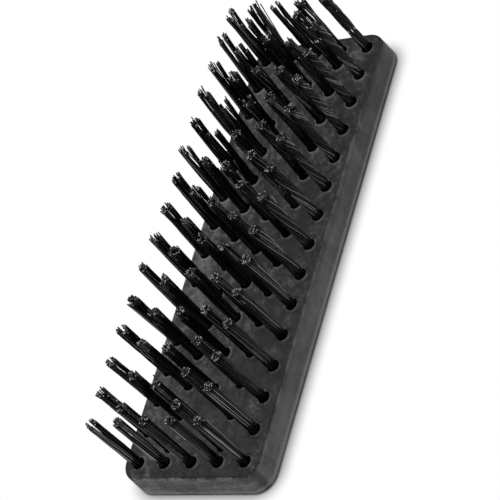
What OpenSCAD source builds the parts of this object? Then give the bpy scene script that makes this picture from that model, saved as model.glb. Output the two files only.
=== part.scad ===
// Pool wall brush: a flat moulded block filled with bristle tufts.
// Each tuft is folded over a flat-wire anchor at the bottom of its hole.
// The block lies on its back: X runs across it, Y along it and Z up to the bristle tips.

/* [Block] */
// Length of the block, along Y
block_length = 203; // [190:1:250]
// Width of the block, along X
block_width = 65; // [60:0.5:90]
// Thickness of the block, from its back to the bristle face
block_thickness = 12; // [10:0.5:20]
// Radius of the four upright corners
corner_radius = 8.5; // [4:0.5:14]
// How far the bristle face is drawn in from the back's outline by the sloping sides
side_draft = 0.6; // [0.3:0.1:2]
// Rounding of the edge around the bristle face
face_edge_round = 1; // [0.5:0.1:3]
// Rounding of the edge around the back
back_edge_round = 0.8; // [0.5:0.1:2]

/* [Tuft pattern] */
// Number of tufts in each of the two outer columns
rows = 15; // [11:1:16]
// Number of tufts in the middle column
centre_tufts = 13; // [9:1:15]
// From the centre of an end hole to the end of the block
end_margin = 7.7; // [6.5:0.1:9]
// From the centre of an outer hole to the side of the block
side_margin = 7.5; // [6.5:0.1:9]

/* [Tuft holes] */
// Diameter of a tuft hole
hole_diameter = 5; // [4:0.1:6]
// Material left between the bottom of a hole and the back
hole_floor = 3; // [2:0.5:4]
// Width of the bevel at the mouth of a hole
hole_bevel = 0.2; // [0.1:0.1:0.5]
// Height of the lip of plastic pushed up around a hole
lip_height = 0.35; // [0.1:0.05:0.6]
// Width of the flat top of the lip, outside the bevel
lip_land = 0.2; // [0.1:0.1:0.4]
// Width of the slope from the top of the lip down to the bristle face
lip_slope = 0.8; // [0.4:0.1:1.2]

/* [Tufts] */
// Free length of a tuft above the bristle face
tuft_length = 32.5; // [20:0.5:50]
// Diameter of a tuft at its cut tips
tip_diameter = 4.6; // [4:0.1:6.2]
// Gap between a tuft and the wall of its hole
tuft_gap = 0.4; // [0.05:0.05:0.8]
// Thickness of the filaments folded under the anchor
fold_thickness = 1; // [0.6:0.1:1.5]

/* [Anchors] */
// Thickness of the flat anchor wire
wire_thickness = 0.5; // [0.3:0.1:0.8]
// Height of the flat anchor wire
wire_height = 2.2; // [1.5:0.1:3]
// How far each end of an anchor bites into the wall of its hole
anchor_bite = 0.4; // [0.2:0.1:0.6]

/* [Pole bracket holes] */
// Diameter of the two pilot holes in the back
pilot_diameter = 4.2; // [3:0.1:5]
// Depth of the two pilot holes
pilot_depth = 8; // [5:0.5:9]

/* [Hidden] */
$fn = 48;
cut_over = 1;
block_colour = [0.22, 0.22, 0.23];
bristle_colour = [0.07, 0.07, 0.07];
wire_colour = [0.74, 0.74, 0.72];

row_span = block_length - 2 * end_margin;
first_row = -row_span / 2;
row_pitch = row_span / (rows - 1);
centre_pitch = row_span / (centre_tufts - 1);
column_pitch = (block_width - 2 * side_margin) / 4;
hole_depth = block_thickness - hole_floor;

// The pilot holes sit on the centre line, midway between two tufts of the middle column
pilot_steps = 2 * floor(centre_tufts / 5) + (centre_tufts % 2 == 1 ? 1 : 0);
pilot_spacing = pilot_steps * centre_pitch;

// Places along Y of the tufts in a column: outer 2, inner 1, middle 0.
// An inner column stands half a pitch between the outer rows and also fills both end rows.
function column_places(column) =
    column == 2 ? [for (i = [0:rows - 1]) first_row + i * row_pitch]
    : column == 1 ? concat(
        [first_row],
        [for (i = [0:rows - 2]) first_row + (i + 0.5) * row_pitch],
        [-first_row])
    : [for (i = [0:centre_tufts - 1]) first_row + i * centre_pitch];

tuft_places = [
    for (column = [-2:2])
        for (along = column_places(abs(column)))
            [column * column_pitch, along]
];

// The row, counted from 1, that a tuft is filled with
function row_of(place) = 1 + floor((place.y - first_row) / row_pitch + 0.501);

function row_name(piece, row) = str(piece, "_row_", row < 10 ? "0" : "", row);

// Puts its child at the bottom of every tuft hole of one row
module in_row(row) {
    for (place = tuft_places)
        if (row_of(place) == row)
            translate([place.x, place.y, hole_floor])
                children();
}

// Section through the rim of the block, from the centre line of a corner out to the sloping side
module rim_section() {
    slope = atan(side_draft / block_thickness);
    out = [cos(slope), sin(slope)];
    back_centre = [corner_radius - back_edge_round, back_edge_round];
    rise = block_thickness - face_edge_round - back_edge_round;
    drawn_in = (face_edge_round - back_edge_round + rise * sin(slope)) / cos(slope);
    face_centre = back_centre + [-drawn_in, rise];
    polygon([
        [0, 0],
        [back_centre.x, 0],
        back_centre + back_edge_round * out,
        face_centre + face_edge_round * out,
        [face_centre.x, block_thickness],
        [0, block_thickness]
    ]);
    translate(back_centre)
        circle(r = back_edge_round);
    translate(face_centre)
        circle(r = face_edge_round);
}

// The block without its holes: a flat middle, a rim along each edge and four round corners
module solid_block() {
    middle = [block_width - 2 * corner_radius, block_length - 2 * corner_radius];
    translate([-middle.x / 2, -middle.y / 2, 0])
        cube([middle.x, middle.y, block_thickness]);
    for (side = [0, 1])
        mirror([side, 0, 0])
            translate([middle.x / 2, 0, 0]) {
                rotate([90, 0, 0])
                    linear_extrude(middle.y, center = true)
                        rim_section();
                for (end = [0, 1])
                    mirror([0, end, 0])
                        translate([0, middle.y / 2, 0])
                            rotate_extrude(angle = 90)
                                rim_section();
            }
    for (end = [0, 1])
        mirror([0, end, 0])
            translate([0, middle.y / 2, 0])
                rotate([90, 0, 90])
                    linear_extrude(middle.x, center = true)
                        rim_section();
}

// Plastic pushed up around one hole when its tuft was driven in
module hole_lip() {
    top_radius = hole_diameter / 2 + hole_bevel + lip_land;
    rotate_extrude()
        polygon([
            [0, hole_depth - cut_over],
            [top_radius + lip_slope, hole_depth - cut_over],
            [top_radius + lip_slope, hole_depth],
            [top_radius, hole_depth + lip_height],
            [0, hole_depth + lip_height]
        ]);
}

// Room for one tuft, with a small bevel at its mouth
module tuft_hole() {
    hole_radius = hole_diameter / 2;
    mouth = hole_depth + lip_height;
    rotate_extrude()
        polygon([
            [0, 0],
            [hole_radius, 0],
            [hole_radius, mouth - hole_bevel],
            [hole_radius + hole_bevel, mouth],
            [hole_radius + hole_bevel, mouth + cut_over],
            [0, mouth + cut_over]
        ]);
}

// One piece of flat wire, standing on edge across the hole
module anchor() {
    anchor_length = hole_diameter + 2 * anchor_bite;
    translate([-anchor_length / 2, -wire_thickness / 2, fold_thickness])
        cube([anchor_length, wire_thickness, wire_height]);
}

// One bundle of filaments, straight in its hole and slightly spread above it
module tuft() {
    root_radius = hole_diameter / 2 - tuft_gap;
    difference() {
        rotate_extrude()
            polygon([
                [0, 0],
                [root_radius, 0],
                [root_radius, hole_depth],
                [tip_diameter / 2, hole_depth + tuft_length],
                [0, hole_depth + tuft_length]
            ]);
        anchor();
    }
}

module block() {
    color(block_colour)
        difference() {
            union() {
                solid_block();
                for (row = [1:rows])
                    in_row(row)
                        hole_lip();
            }
            for (row = [1:rows])
                in_row(row) {
                    tuft_hole();
                    anchor();
                }
            for (end = [-1, 1])
                translate([0, end * pilot_spacing / 2, -cut_over])
                    cylinder(d = pilot_diameter, h = pilot_depth + cut_over);
        }
}

module tuft_row(row) {
    color(bristle_colour)
        in_row(row)
            tuft();
}

module anchor_row(row) {
    color(wire_colour)
        in_row(row)
            anchor();
}

block();
for (row = [1:rows])
    tuft_row(row);
for (row = [1:rows])
    anchor_row(row);
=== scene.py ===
import math
import random
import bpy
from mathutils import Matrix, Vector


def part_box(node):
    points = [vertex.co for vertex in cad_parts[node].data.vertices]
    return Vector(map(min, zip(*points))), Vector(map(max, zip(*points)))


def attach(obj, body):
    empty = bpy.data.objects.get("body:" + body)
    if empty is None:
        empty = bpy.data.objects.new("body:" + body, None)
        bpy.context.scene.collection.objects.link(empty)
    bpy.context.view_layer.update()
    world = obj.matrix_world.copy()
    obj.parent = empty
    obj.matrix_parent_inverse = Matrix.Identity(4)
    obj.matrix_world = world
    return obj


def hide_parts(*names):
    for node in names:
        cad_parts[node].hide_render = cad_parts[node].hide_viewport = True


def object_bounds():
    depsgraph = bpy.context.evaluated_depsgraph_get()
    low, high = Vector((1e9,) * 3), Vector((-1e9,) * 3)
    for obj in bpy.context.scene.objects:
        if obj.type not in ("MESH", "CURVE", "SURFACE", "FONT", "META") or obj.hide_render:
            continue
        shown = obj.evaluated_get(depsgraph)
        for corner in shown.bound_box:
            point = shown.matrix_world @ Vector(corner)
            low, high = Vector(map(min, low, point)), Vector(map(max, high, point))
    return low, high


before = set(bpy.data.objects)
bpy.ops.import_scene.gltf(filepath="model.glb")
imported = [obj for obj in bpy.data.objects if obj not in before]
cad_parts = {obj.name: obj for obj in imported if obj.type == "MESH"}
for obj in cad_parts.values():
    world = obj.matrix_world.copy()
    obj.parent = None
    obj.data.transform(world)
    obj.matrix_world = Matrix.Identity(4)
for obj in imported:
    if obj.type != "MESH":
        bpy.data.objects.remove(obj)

from types import SimpleNamespace

import bmesh
import bpy
from mathutils import Matrix, Vector

cad_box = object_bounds()
scene = bpy.context.scene
scene.view_settings.view_transform = "Standard"

# Camera: the photograph looks down across one corner of the brush through a
# long lens, which is rolled so that the bristles point up and to the left.
camera_place = Vector((0.52798, -0.41307, 0.61484))
camera_aim = Vector((0.00379, -0.00561, 0.02000))
camera_roll = math.radians(45.41)
sensor_width = 36
lens_length = 165.6

camera_data = bpy.data.cameras.new("photo_camera")
camera_data.sensor_width = sensor_width
camera_data.lens = lens_length
camera = bpy.data.objects.new("photo_camera", camera_data)
look = (camera_aim - camera_place).to_track_quat("-Z", "Y").to_matrix().to_4x4()
roll = Matrix.Rotation(-camera_roll, 4, "Z")
camera.matrix_world = Matrix.Translation(camera_place) @ look @ roll
scene.collection.objects.link(camera)
scene.camera = camera

# Table: the white sheet that the brush lies on. It is plain paper, so all that
# shows of it is the soft shadow close along the foot of the block.
table_size = 4.0
table_drop = 0.0002
paper_white = (0.8, 0.8, 0.8, 1)
paper_bright = (1, 1, 1, 1)
shadow_grey = (0.2, 0.2, 0.2, 1)
shadow_reach = 0.0065
open_at_darkest, open_at_bright = 0.40, 0.97


def new_material(name):
    """A material with its nodes and links, which make it the material at hand."""
    material = bpy.data.materials.new(name)
    material.use_nodes = True
    return material, material.node_tree.nodes, material.node_tree.links


def math_node(operation, *values):
    """One Math node in the material at hand: sockets are linked, numbers are set."""
    node = nodes.new("ShaderNodeMath")
    node.operation = operation
    for socket, value in zip(node.inputs, values):
        if isinstance(value, (int, float)):
            socket.default_value = value
        else:
            links.new(value, socket)
    return node.outputs[0]


def ramp(value, *stops):
    """A colour ramp in the material at hand, through stops that each have a place and a colour."""
    node = nodes.new("ShaderNodeValToRGB")
    for place, colour in stops[1:-1]:
        node.color_ramp.elements.new(place)
    for element, (place, colour) in zip(node.color_ramp.elements, stops):
        element.position = place
        element.color = colour
    links.new(value, node.inputs["Fac"])
    return node.outputs["Color"]


def add_object(name, shape, *materials):
    """Puts a finished shape into the scene as an object with these materials."""
    mesh = bpy.data.meshes.new(name)
    shape.to_mesh(mesh)
    shape.free()
    for material in materials:
        mesh.materials.append(material)
    added = bpy.data.objects.new(name, mesh)
    scene.collection.objects.link(added)
    return added


paper, nodes, links = new_material("white_paper")
nodes.clear()
paper_out = nodes.new("ShaderNodeOutputMaterial")
paper_lit = nodes.new("ShaderNodeBsdfDiffuse")
paper_lit.inputs["Color"].default_value = paper_white
# The shadow is painted: an ambient occlusion node darkens the colour the paper shows to camera and
# glossy rays
near_block = nodes.new("ShaderNodeAmbientOcclusion")
near_block.inputs["Distance"].default_value = shadow_reach
shadow = ramp(near_block.outputs["AO"], (open_at_darkest, shadow_grey), (open_at_bright, paper_bright))
paper_seen = nodes.new("ShaderNodeEmission")
links.new(shadow, paper_seen.inputs["Color"])
light_path = nodes.new("ShaderNodeLightPath")
seen = light_path.outputs["Is Camera Ray"]
for ray in ("Is Glossy Ray", "Is Transmission Ray"):
    seen = math_node("MAXIMUM", seen, light_path.outputs[ray])
paper_mix = nodes.new("ShaderNodeMixShader")
links.new(seen, paper_mix.inputs[0])
links.new(paper_lit.outputs[0], paper_mix.inputs[1])
links.new(paper_seen.outputs[0], paper_mix.inputs[2])
links.new(paper_mix.outputs[0], paper_out.inputs["Surface"])

sheet = bmesh.new()
bmesh.ops.create_grid(
    sheet, x_segments=1, y_segments=1, size=table_size / 2,
    matrix=Matrix.Translation((0, 0, cad_box[0][2] - table_drop)))
table = add_object("table", sheet, paper)

# Lights: a dim room with one lamp straight above, which lights the face of the block and
# the cut tips. The sides of the bristles show the white table instead.
room_white = (1, 1, 1, 1)
room_level = 0.25
lamp_height = 0.9
lamp_side = 0.35
lamp_watts = 4.0

room = bpy.data.worlds.new("pale_room")
scene.world = room
room.use_nodes = True
room_light = room.node_tree.nodes["Background"]
room_light.inputs["Color"].default_value = room_white
room_light.inputs["Strength"].default_value = room_level
lamp_data = bpy.data.lights.new("overhead_lamp", "AREA")
lamp_data.shape = "SQUARE"
lamp_data.size = lamp_side
lamp_data.energy = lamp_watts
lamp = bpy.data.objects.new("overhead_lamp", lamp_data)
lamp.location.z = lamp_height
scene.collection.objects.link(lamp)

# Block: one flat moulding in dark grey plastic, drilled for the tufts. It is
# mottled by use on wet walls. Its edges and hole lips are painted pale, partly as wear
# and partly as painted highlight, and its face and sides carry painted light and shade.
corner_radius = 0.0085
side_draft = 0.0006
edge_round = 0.0010
face_from = side_draft + edge_round
edge_blur = 0.0002
long_edge_inset = 0.0007
near_edge_outset = 0.0002
edge_wander = 0.0020
block_dark = (0.012, 0.012, 0.012, 1)
block_grey = (0.042, 0.042, 0.042, 1)
block_pale = (0.230, 0.230, 0.228, 1)
dark_tone, plain_tone, pale_tone = 0.26, 0.50, 1.00
side_calm = 0.55
side_banding, end_banding = 0.3, 1.0
end_speckle = 1.0
edge_rub_and_highlight, rub_and_highlight_least = 1.2, 0.25
block_gloss = 0.65
block_roughness = 0.30
fillet_roughness = 0.40
mottle_roughness = 0.60
grain_roughness = 0.6
pit_depth = 0.0004
pit_strength = 0.35
speckle_pits = 0.5

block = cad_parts["block"]
block_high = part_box("block")[1]
block_plastic, nodes, links = new_material("block_plastic")
plastic = nodes["Principled BSDF"]


def mask(value, none, full):
    """A mask in the material at hand: 0 up to where it has none, then rising to 1 where it is full."""
    node = nodes.new("ShaderNodeMapRange")
    links.new(value, node.inputs["Value"])
    node.inputs["From Min"].default_value = none
    node.inputs["From Max"].default_value = full
    return node.outputs["Result"]


def together(first, *others):
    """The product of these, so a mask that is full only where all of them are full."""
    for other in others:
        first = math_node("MULTIPLY", first, other)
    return first


def swing(noise):
    """A noise moved down by half, so that it swings to both sides of zero."""
    return math_node("SUBTRACT", noise, 0.5)


def dress(solid, material):
    """Gives this finish to a solid that stays in sight."""
    solid.data.materials.clear()
    solid.data.materials.append(material)


surface_grain = bpy.data.node_groups.new("surface_grain", "ShaderNodeTree")
surface_grain.interface.new_socket("Wave Size", in_out="INPUT", socket_type="NodeSocketVector")
surface_grain.interface.new_socket("Turn", in_out="INPUT", socket_type="NodeSocketVector")
surface_grain.interface.new_socket("Detail", in_out="INPUT", socket_type="NodeSocketFloat")
surface_grain.interface.new_socket("Grain", in_out="OUTPUT", socket_type="NodeSocketFloat")
grain_in = surface_grain.nodes.new("NodeGroupInput")
grain_out = surface_grain.nodes.new("NodeGroupOutput")
grain_where = surface_grain.nodes.new("ShaderNodeTexCoord")
grain_waves = surface_grain.nodes.new("ShaderNodeMapping")
grain_waves.vector_type = "TEXTURE"
grain_noise = surface_grain.nodes.new("ShaderNodeTexNoise")
grain_noise.inputs["Scale"].default_value = 1
grain_noise.inputs["Roughness"].default_value = grain_roughness
surface_grain.links.new(grain_where.outputs["Object"], grain_waves.inputs["Vector"])
surface_grain.links.new(grain_in.outputs["Wave Size"], grain_waves.inputs["Scale"])
surface_grain.links.new(grain_in.outputs["Turn"], grain_waves.inputs["Rotation"])
surface_grain.links.new(grain_waves.outputs["Vector"], grain_noise.inputs["Vector"])
surface_grain.links.new(grain_in.outputs["Detail"], grain_noise.inputs["Detail"])
surface_grain.links.new(grain_noise.outputs["Fac"], grain_out.inputs["Grain"])


def grain(wave_x, wave_y, wave_z, detail, turn=0):
    """The grain group in the material at hand: waves in metres, turned about Z in degrees."""
    node = nodes.new("ShaderNodeGroup")
    node.node_tree = surface_grain
    node.inputs["Wave Size"].default_value = (wave_x, wave_y, wave_z)
    node.inputs["Turn"].default_value = (0, 0, math.radians(turn))
    node.inputs["Detail"].default_value = detail
    return node.outputs["Grain"]


speckle = grain(0.0007, 0.0007, 0.0007, detail=2)
mottle = grain(0.0030, 0.0030, 0.0030, detail=4)
patches = grain(0.0125, 0.0125, 0.0125, detail=3)
mould_lines = grain(0.0180, 0.0180, 0.0034, detail=2)
wipes = grain(0.0024, 0.0200, 0.0200, detail=3, turn=30)
scratches = grain(0.0009, 0.0220, 0.0220, detail=2, turn=12)

# How far a point lies inside the outline of the block, and how much it faces an end
where = nodes.new("ShaderNodeTexCoord")
split = nodes.new("ShaderNodeSeparateXYZ")
links.new(where.outputs["Object"], split.inputs["Vector"])
across, along, height = split.outputs
past_x = math_node("SUBTRACT", math_node("ABSOLUTE", across), block_high.x - corner_radius)
past_y = math_node("SUBTRACT", math_node("ABSOLUTE", along), block_high.y - corner_radius)
corner_x = math_node("MAXIMUM", past_x, 0)
corner_y = math_node("MAXIMUM", past_y, 0)
corner_square = math_node("MULTIPLY_ADD", corner_x, corner_x, math_node("MULTIPLY", corner_y, corner_y))
corner_reach = math_node("SQRT", corner_square)
inner_reach = math_node("MINIMUM", math_node("MAXIMUM", past_x, past_y), 0)
from_outline = math_node("SUBTRACT", corner_radius, math_node("ADD", corner_reach, inner_reach))
on_end = math_node("DIVIDE", corner_y, corner_reach)

# The worn edge of the face, which wanders a little along the two long sides
near_part = mask(along, none=-0.0500, full=-0.0850)
far_part = mask(along, none=0.0350, full=0.0650)
edge_inset = math_node("MULTIPLY_ADD", near_part, -long_edge_inset - near_edge_outset, long_edge_inset)
edge_shift = math_node("MULTIPLY_ADD", swing(patches), edge_wander, edge_inset)
from_rim = math_node("MULTIPLY_ADD", math_node("SUBTRACT", on_end, 1), edge_shift, from_outline)

# Parts of the surface
on_side = mask(from_rim, none=face_from, full=side_draft)
long_side = together(on_side, math_node("SUBTRACT", 1, on_end))
end_flat = mask(on_end, none=0.70, full=0.98)
near_end = together(end_flat, mask(along, none=-0.0940, full=-0.0980))
fillet = together(
    mask(from_outline, none=side_draft - edge_blur, full=side_draft + edge_blur),
    mask(from_outline, none=face_from + 2 * edge_blur, full=face_from))
left_margin = mask(across, none=-0.0200, full=-0.0240)
# Painted shade on the face near the right side
right_face_shade = together(
    mask(across, none=0.0120, full=0.0220),
    mask(across, none=0.0315, full=0.0305))

# Marks of use and of the mould, and painted light, shade, highlights and reflection
dark_strip = together(
    mask(from_rim, none=side_draft, full=face_from - 2 * edge_blur),
    mask(from_rim, none=0.0075, full=0.0050))
dark_edge = together(
    mask(from_rim, none=side_draft, full=face_from - 3 * edge_blur),
    mask(from_rim, none=face_from + 3 * edge_blur, full=face_from),
    mask(patches, none=0.45, full=0.60))
# The near top edge is painted pale, partly as wear and partly as painted highlight
rub_and_highlight_edge = together(
    near_end,
    mask(from_rim, none=side_draft - 2 * edge_blur, full=side_draft),
    mask(from_rim, none=face_from, full=face_from - 2 * edge_blur),
    mask(height, none=0.0100, full=0.0110),
    mask(across, none=-0.0240, full=-0.0140))
# Painted highlight on the lips of the holes
lip_highlight = mask(height, none=0.01205, full=0.01225)
# The face is lighter along the middle of its left margin
lighter_left_margin = together(
    left_margin,
    mask(along, none=-0.0850, full=-0.0500),
    mask(along, none=0.1000, full=0.0100))
# Painted light on the near left corner
near_corner_painted_light = together(
    mask(across, none=-0.0140, full=-0.0240),
    mask(along, none=-0.0920, full=-0.0970))
# Painted light where the side turns round the near right corner
corner_turn_painted_light = together(
    near_part,
    mask(across, none=0, full=0.0240),
    mask(on_end, none=0.20, full=0.50),
    mask(on_end, none=1.00, full=0.85),
    mask(from_rim, none=0.0070, full=0.0050))
# Painted light on the left part of the near end
end_painted_light = together(
    on_side,
    near_end,
    mask(across, none=-0.0060, full=-0.0180))
# Painted reflection of the white table: a pale line low on the sides
foot_reflection = together(
    on_side,
    mask(height, none=0.0012, full=0.0019),
    mask(height, none=0.0036, full=0.0023))
# Painted shade along the very foot of the sides
foot_shade = together(on_side, mask(height, none=0.0014, full=0.0009))
# Painted shade: a dark line down the middle of each rounded corner
corner_shade_line = together(
    on_side,
    mask(on_end, none=0.45, full=0.65),
    mask(on_end, none=0.96, full=0.76))
# Painted shade on the middle of the face, between the tufts
shade_between_tufts = together(
    mask(across, none=-0.0200, full=0.0030),
    mask(across, none=0.0300, full=0.0160),
    mask(along, none=-0.1300, full=-0.0650),
    mask(along, none=0.0700, full=0.0150))
scratch = mask(scratches, none=0.62, full=0.70)

# The tone of the plastic, from 0 for the darkest to 1 for the palest
tone = 0
for noise, strength in ((mottle, 1.1), (speckle, 0.6), (patches, 1.0), (wipes, 0.5)):
    tone = math_node("MULTIPLY_ADD", swing(noise), strength, tone)
calm = math_node("MULTIPLY_ADD", long_side, -side_calm, 1)
tone = math_node("MULTIPLY_ADD", tone, calm, plain_tone)
for mark, strength in (
        # Painted light: the sides are lighter than the face, and the long sides lighter still near the
        # near end; they are darker towards the far end
        (on_side, 0.06),
        (together(long_side, near_part), 0.11),
        (together(long_side, far_part), -0.16),
        # Painted highlight along the fillet of the long sides
        (together(long_side, fillet), 0.07),
        (left_margin, 0.03),
        (right_face_shade, -0.06),
        (dark_strip, -0.12),
        (dark_edge, -0.08),
        (lip_highlight, 0.20),
        (lighter_left_margin, 0.17),
        (near_corner_painted_light, 0.12),
        (corner_turn_painted_light, 0.16),
        (end_painted_light, 0.09),
        (foot_reflection, 0.50),
        (foot_shade, -0.08),
        (corner_shade_line, -0.34),
        (shade_between_tufts, -0.16),
        (scratch, 0.10)):
    tone = math_node("MULTIPLY_ADD", mark, strength, tone)
banding = math_node("MULTIPLY_ADD", near_end, end_banding, side_banding)
tone = math_node("MULTIPLY_ADD", together(on_side, swing(mould_lines)), banding, tone)
tone = math_node("MULTIPLY_ADD", together(on_side, near_end, swing(speckle)), end_speckle, tone)
# Pale near edge, wear and painted highlight, in patches
rub_and_highlight = together(rub_and_highlight_edge, math_node("SUBTRACT", patches, rub_and_highlight_least))
tone = math_node("MULTIPLY_ADD", rub_and_highlight, edge_rub_and_highlight, tone)

shades = ramp(tone, (dark_tone, block_dark), (plain_tone, block_grey), (pale_tone, block_pale))
links.new(shades, plastic.inputs["Base Color"])
plastic.inputs["Specular IOR Level"].default_value = block_gloss
roughness = math_node("MULTIPLY_ADD", fillet, fillet_roughness, block_roughness)
roughness = math_node("MULTIPLY_ADD", mottle, mottle_roughness, roughness)
links.new(roughness, plastic.inputs["Roughness"])
pits = nodes.new("ShaderNodeBump")
pits.inputs["Strength"].default_value = pit_strength
pits.inputs["Distance"].default_value = pit_depth
links.new(math_node("MULTIPLY_ADD", speckle, speckle_pits, mottle), pits.inputs["Height"])
links.new(pits.outputs["Normal"], plastic.inputs["Normal"])
dress(block, block_plastic)

# Anchors: a short piece of flat drawn wire holds each tuft. It is driven in across
# the hole on top of the folded filaments, and its ends bite into the plastic.
wire_grey = (0.62, 0.61, 0.58, 1)
tarnish_grey = (0.37, 0.37, 0.35, 1)
wire_roughness = 0.25
line_roughness = 0.3

wire_metal, nodes, links = new_material("drawn_wire")
metal = nodes["Principled BSDF"]
metal.inputs["Metallic"].default_value = 1
draw_lines = grain(0.0042, 0.0003, 0.0003, detail=3)
links.new(ramp(draw_lines, (0, tarnish_grey), (1, wire_grey)), metal.inputs["Base Color"])
roughness = math_node("MULTIPLY_ADD", draw_lines, line_roughness, wire_roughness)
links.new(roughness, metal.inputs["Roughness"])
anchor_rows = sorted(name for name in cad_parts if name.startswith("anchor_row_"))
for name in anchor_rows:
    dress(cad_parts[name], wire_metal)

# Bristles: each tuft is a bundle of stiff black plastic filaments, folded in half
# under its anchor. Both legs come up out of the hole and are cut level at the top.
filament = 0.0005
filament_sides = 4
filament_ring = filament * math.pi / (2 * filament_sides * math.sin(math.pi / filament_sides))
filament_pitch = 1.04 * filament
first_fold = 0.65 * filament_pitch
fold_depth = 0.00092
fold_steps = 3
free_steps = 8
bundle_radius = 0.0021
last_fold = bundle_radius - filament / 2
mouth = block_high.z
weld_gap = 1e-6
place_digits = 5
cut_slot = 1
bristle_black = (0.003, 0.003, 0.003, 1)
bristle_grey = (0.010, 0.010, 0.010, 1)
grey_from, grey_full = 0.5, 1
bristle_gloss = 0.25
bristle_roughness = 0.24
streak_roughness = 0.20
strand_polish = 0.22
sheen_none, sheen_full = 0.65, 0.83
sheen_index = 2.0
sheen_roughness = 0.1
cut_pale = (0.55, 0.55, 0.54, 1)
pale_full, pale_none = 0, 0.5
cut_roughness = 0.6


def strand_number():
    """The number from 0 to 1 that each leg carries, read in the material at hand."""
    node = nodes.new("ShaderNodeAttribute")
    node.attribute_name = "strand"
    return node.outputs["Fac"]


bristle_plastic, nodes, links = new_material("bristle_plastic")
plastic = nodes["Principled BSDF"]
strand = strand_number()
tone = ramp(strand, (grey_from, bristle_black), (grey_full, bristle_grey))
links.new(tone, plastic.inputs["Base Color"])
streaks = grain(0.0007, 0.0007, 0.0110, detail=2)
roughness = math_node("MULTIPLY_ADD", streaks, streak_roughness, bristle_roughness)
roughness = math_node("MULTIPLY_ADD", strand, -strand_polish, roughness)
links.new(roughness, plastic.inputs["Roughness"])
links.new(mask(strand, sheen_none, sheen_full), plastic.inputs["Coat Weight"])
plastic.inputs["Coat IOR"].default_value = sheen_index
plastic.inputs["Coat Roughness"].default_value = sheen_roughness
plastic.inputs["Specular IOR Level"].default_value = bristle_gloss

cut_end, nodes, links = new_material("cut_filament_end")
plastic = nodes["Principled BSDF"]
tone = ramp(strand_number(), (pale_full, cut_pale), (pale_none, bristle_grey))
links.new(tone, plastic.inputs["Base Color"])
plastic.inputs["Roughness"].default_value = cut_roughness

# How the tufts have worn: they twist most on the right, part most on the left and at the far
# end, and in the far half they lean inward and to the far end. Lengths are at the tips.
habit_seed = 75
twist_least, twist_most = math.radians(-30), math.radians(-800)
twist_peak, twist_side = 3.4, 4
twist_scatter = (0.7, 1.25)
lean_from, lean_full = -0.045, 0.010
lean_across, lean_along = -0.0005, 0.0021
lean_inward = 0.07
lean_scatter = 0.0003
wear_near, wear_far, wear_rise = 0.30, 1.00, 1.3
wear_left, wear_right = 1.20, 0.45
clump_counts = (2, 3, 3, 4)
clump_centre = 0.0012
clump_cling = 0.12
clump_parting, clump_scatter = 0.0004, 0.0006
clump_step = 0.0007
rope_side = 3
rope_swell = 0.15
bow = 1.3
kink = 0.00004
fray = 0.00016
bent_share, bent_reach = 0.06, (0.0006, 0.0015)
loose_share, loose_reach = 0.012, (0.0020, 0.0040)
cut_slope = 0.12
tip_drop = 0.0010
tip_unevenness = 0.0008
short_share, short_by = 0.05, (0.001, 0.003)
tip_burr = 1.2


def anchor_boxes(node):
    """Lowest and highest corner of each anchor of a row, which is where its tuft stands."""
    wires = bmesh.new()
    wires.from_mesh(node.data)
    bmesh.ops.remove_doubles(wires, verts=wires.verts, dist=weld_gap)
    waiting, boxes = set(wires.verts), []
    while waiting:
        found, corners = [waiting.pop()], []
        while found:
            corner = found.pop()
            corners.append(corner.co.copy())
            for edge in corner.link_edges:
                other = edge.other_vert(corner)
                if other in waiting:
                    waiting.remove(other)
                    found.append(other)
        boxes.append([Vector(pick(c[i] for c in corners) for i in range(3)) for pick in (min, max)])
    wires.free()
    return sorted(boxes, key=lambda box: (round(box[0].x, place_digits), -box[0].y))


def tuft_habit(stand):
    """How one tuft has worn, from where it stands on the block."""
    far = (stand.y / block_high.y + 1) / 2
    right = (stand.x / block_high.x + 1) / 2
    twisted = math.sin(math.pi * far ** twist_peak) * right ** twist_side
    twist = (twist_least + (twist_most - twist_least) * twisted) * random.uniform(*twist_scatter)
    leaning = min(max((stand.y - lean_from) / (lean_full - lean_from), 0), 1)
    lean = Vector((
        random.gauss((lean_across - lean_inward * stand.x) * leaning, lean_scatter),
        random.gauss(lean_along * leaning, lean_scatter), 0))
    wear = wear_near + (wear_far - wear_near) * far ** wear_rise
    wear *= wear_left + (wear_right - wear_left) * right
    clumps = [
        (clump_parting + abs(random.gauss(0, clump_scatter)), random.gauss(0, clump_step))
        for i in range(random.choice(clump_counts))]
    clump_turn = random.uniform(0, math.tau)
    tilt = Vector((random.gauss(0, cut_slope), random.gauss(0, cut_slope), 0))
    return SimpleNamespace(
        twist=twist, lean=lean, wear=wear, rope=right ** rope_side,
        clumps=clumps, clump_turn=clump_turn, tilt=tilt)


def folds(wire_half):
    """Filaments side by side under an anchor: place along the wire, half the width of the fold."""
    half_fold = wire_half + first_fold
    while half_fold < last_fold:
        reach = math.sqrt(last_fold ** 2 - half_fold ** 2)
        count = int(2 * reach / filament_pitch) + 1
        for i in range(count):
            yield (i / max(count - 1, 1) - 0.5) * 2 * reach, half_fold
        half_fold += filament_pitch


def folded_filament(along_wire, half_fold, foot):
    """The bend of one filament under its anchor, and the two faces that its legs grow from."""
    shape = bmesh.new()
    shape.verts.layers.float.new("strand")
    bmesh.ops.create_circle(
        shape, cap_ends=True, segments=filament_sides, radius=filament_ring,
        matrix=Matrix.Translation((along_wire, half_fold, 0)))
    ends = list(shape.faces)
    turned = bmesh.ops.spin(
        shape, geom=ends[:], cent=(0, 0, 0), axis=(1, 0, 0), angle=-math.pi, steps=fold_steps)
    ends += [part for part in turned["geom_last"] if isinstance(part, bmesh.types.BMFace)]
    flatten = fold_depth / (half_fold + filament / 2)
    bmesh.ops.scale(shape, verts=shape.verts, vec=(1, 1, flatten))
    bmesh.ops.translate(shape, verts=shape.verts, vec=foot)
    return shape, ends


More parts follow.
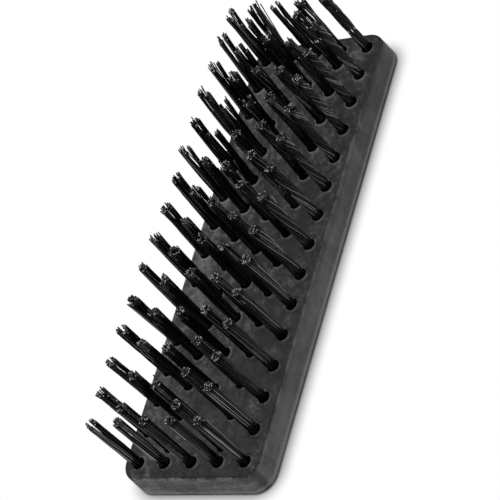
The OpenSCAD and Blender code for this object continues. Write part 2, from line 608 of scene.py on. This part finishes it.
def leg_habit(root, habit):
    """How one leg of a tuft moves out by its tip, how far below the top it is cut, and its lean."""
    turn = (math.atan2(root.y, root.x) - habit.clump_turn) % math.tau
    clump = int(turn / math.tau * len(habit.clumps))
    parting, step_up = habit.clumps[clump]
    clump_angle = habit.clump_turn + (clump + 0.5) / len(habit.clumps) * math.tau
    outward = Vector((math.cos(clump_angle), math.sin(clump_angle), 0))
    clumped = (outward * clump_centre - root) * clump_cling + outward * parting * habit.wear
    spread = clumped.lerp(root * rope_swell, habit.rope)
    uneven = step_up + random.gauss(0, tip_unevenness)
    drop = (tip_drop - uneven) * habit.wear - habit.tilt.dot(root)
    if random.random() < short_share:
        drop += random.uniform(*short_by)
    stray = Vector((random.gauss(0, fray * habit.wear), random.gauss(0, fray * habit.wear), 0))
    for share, reach in ((bent_share * habit.wear, bent_reach), (loose_share, loose_reach)):
        if random.random() < share:
            stray = stray.normalized() * random.uniform(*reach)
    return spread, max(drop, 0), habit.lean + stray


def leg_path(stand, root, spread, tip, twist, lean):
    """Points of one leg from the mouth of its hole up to its tip, for its place in the mouth."""
    yield Vector((stand.x + root.x, stand.y + root.y, mouth))
    for step in range(1, free_steps + 1):
        part = step / free_steps
        bend = part ** bow
        place = Matrix.Rotation(twist * bend, 3, "Z") @ (root + spread * bend) + lean * bend
        if step < free_steps:
            place += Vector((random.gauss(0, kink), random.gauss(0, kink), 0))
        yield Vector((stand.x + place.x, stand.y + place.y, mouth + (tip - mouth) * part))


def grow_leg(shape, end, path, tint):
    """Draws one leg out of an end of its fold along a path, numbers it and cuts it off."""
    strand_layer = shape.verts.layers.float["strand"]
    for point in path:
        end = bmesh.ops.extrude_discrete_faces(shape, faces=[end])["faces"][0]
        bmesh.ops.translate(shape, verts=end.verts, vec=point - end.calc_center_median())
        for corner in end.verts:
            corner[strand_layer] = tint
    bmesh.ops.scale(
        shape, verts=end.verts, vec=(tip_burr, tip_burr, 1),
        space=Matrix.Translation(-end.calc_center_median()))
    end.material_index = cut_slot


def add_filament(bundle, shape):
    """Adds one finished filament to the bundle of its row."""
    bmesh.ops.recalc_face_normals(shape, faces=shape.faces)
    for face in shape.faces:
        face.smooth = face.material_index != cut_slot
    one_filament = bpy.data.meshes.new("filament")
    shape.to_mesh(one_filament)
    shape.free()
    bundle.from_mesh(one_filament)
    bpy.data.meshes.remove(one_filament)


def fill_hole(bundle, low, high, tuft_top):
    """Adds one tuft to a bundle, for the lowest and highest corner of the anchor that holds it."""
    stand = (low + high) / 2
    wire_half = (high.y - low.y) / 2
    closing = last_fold / (last_fold - wire_half)
    habit = tuft_habit(stand)
    for along_wire, half_fold in folds(wire_half):
        shape, ends = folded_filament(along_wire, half_fold, (stand.x, stand.y, low.z))
        for end in ends:
            beside = end.calc_center_median() - stand
            closed = (abs(beside.y) - wire_half) * closing
            root = Vector((beside.x, math.copysign(closed, beside.y), 0))
            spread, drop, lean = leg_habit(root, habit)
            tint = random.random()
            path = leg_path(stand, root, spread, tuft_top - drop, habit.twist, lean)
            grow_leg(shape, end, path, tint)
        add_filament(bundle, shape)


random.seed(habit_seed)
for name in anchor_rows:
    row = name.rsplit("_", 1)[1]
    tuft_node = "tuft_row_" + row
    tuft_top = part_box(tuft_node)[1].z
    bundle = bmesh.new()
    for low, high in anchor_boxes(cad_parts[name]):
        fill_hole(bundle, low, high, tuft_top)
    bristles = add_object("bristles_" + row, bundle, bristle_plastic, cut_end)
    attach(bristles, "root")
    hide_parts(tuft_node)
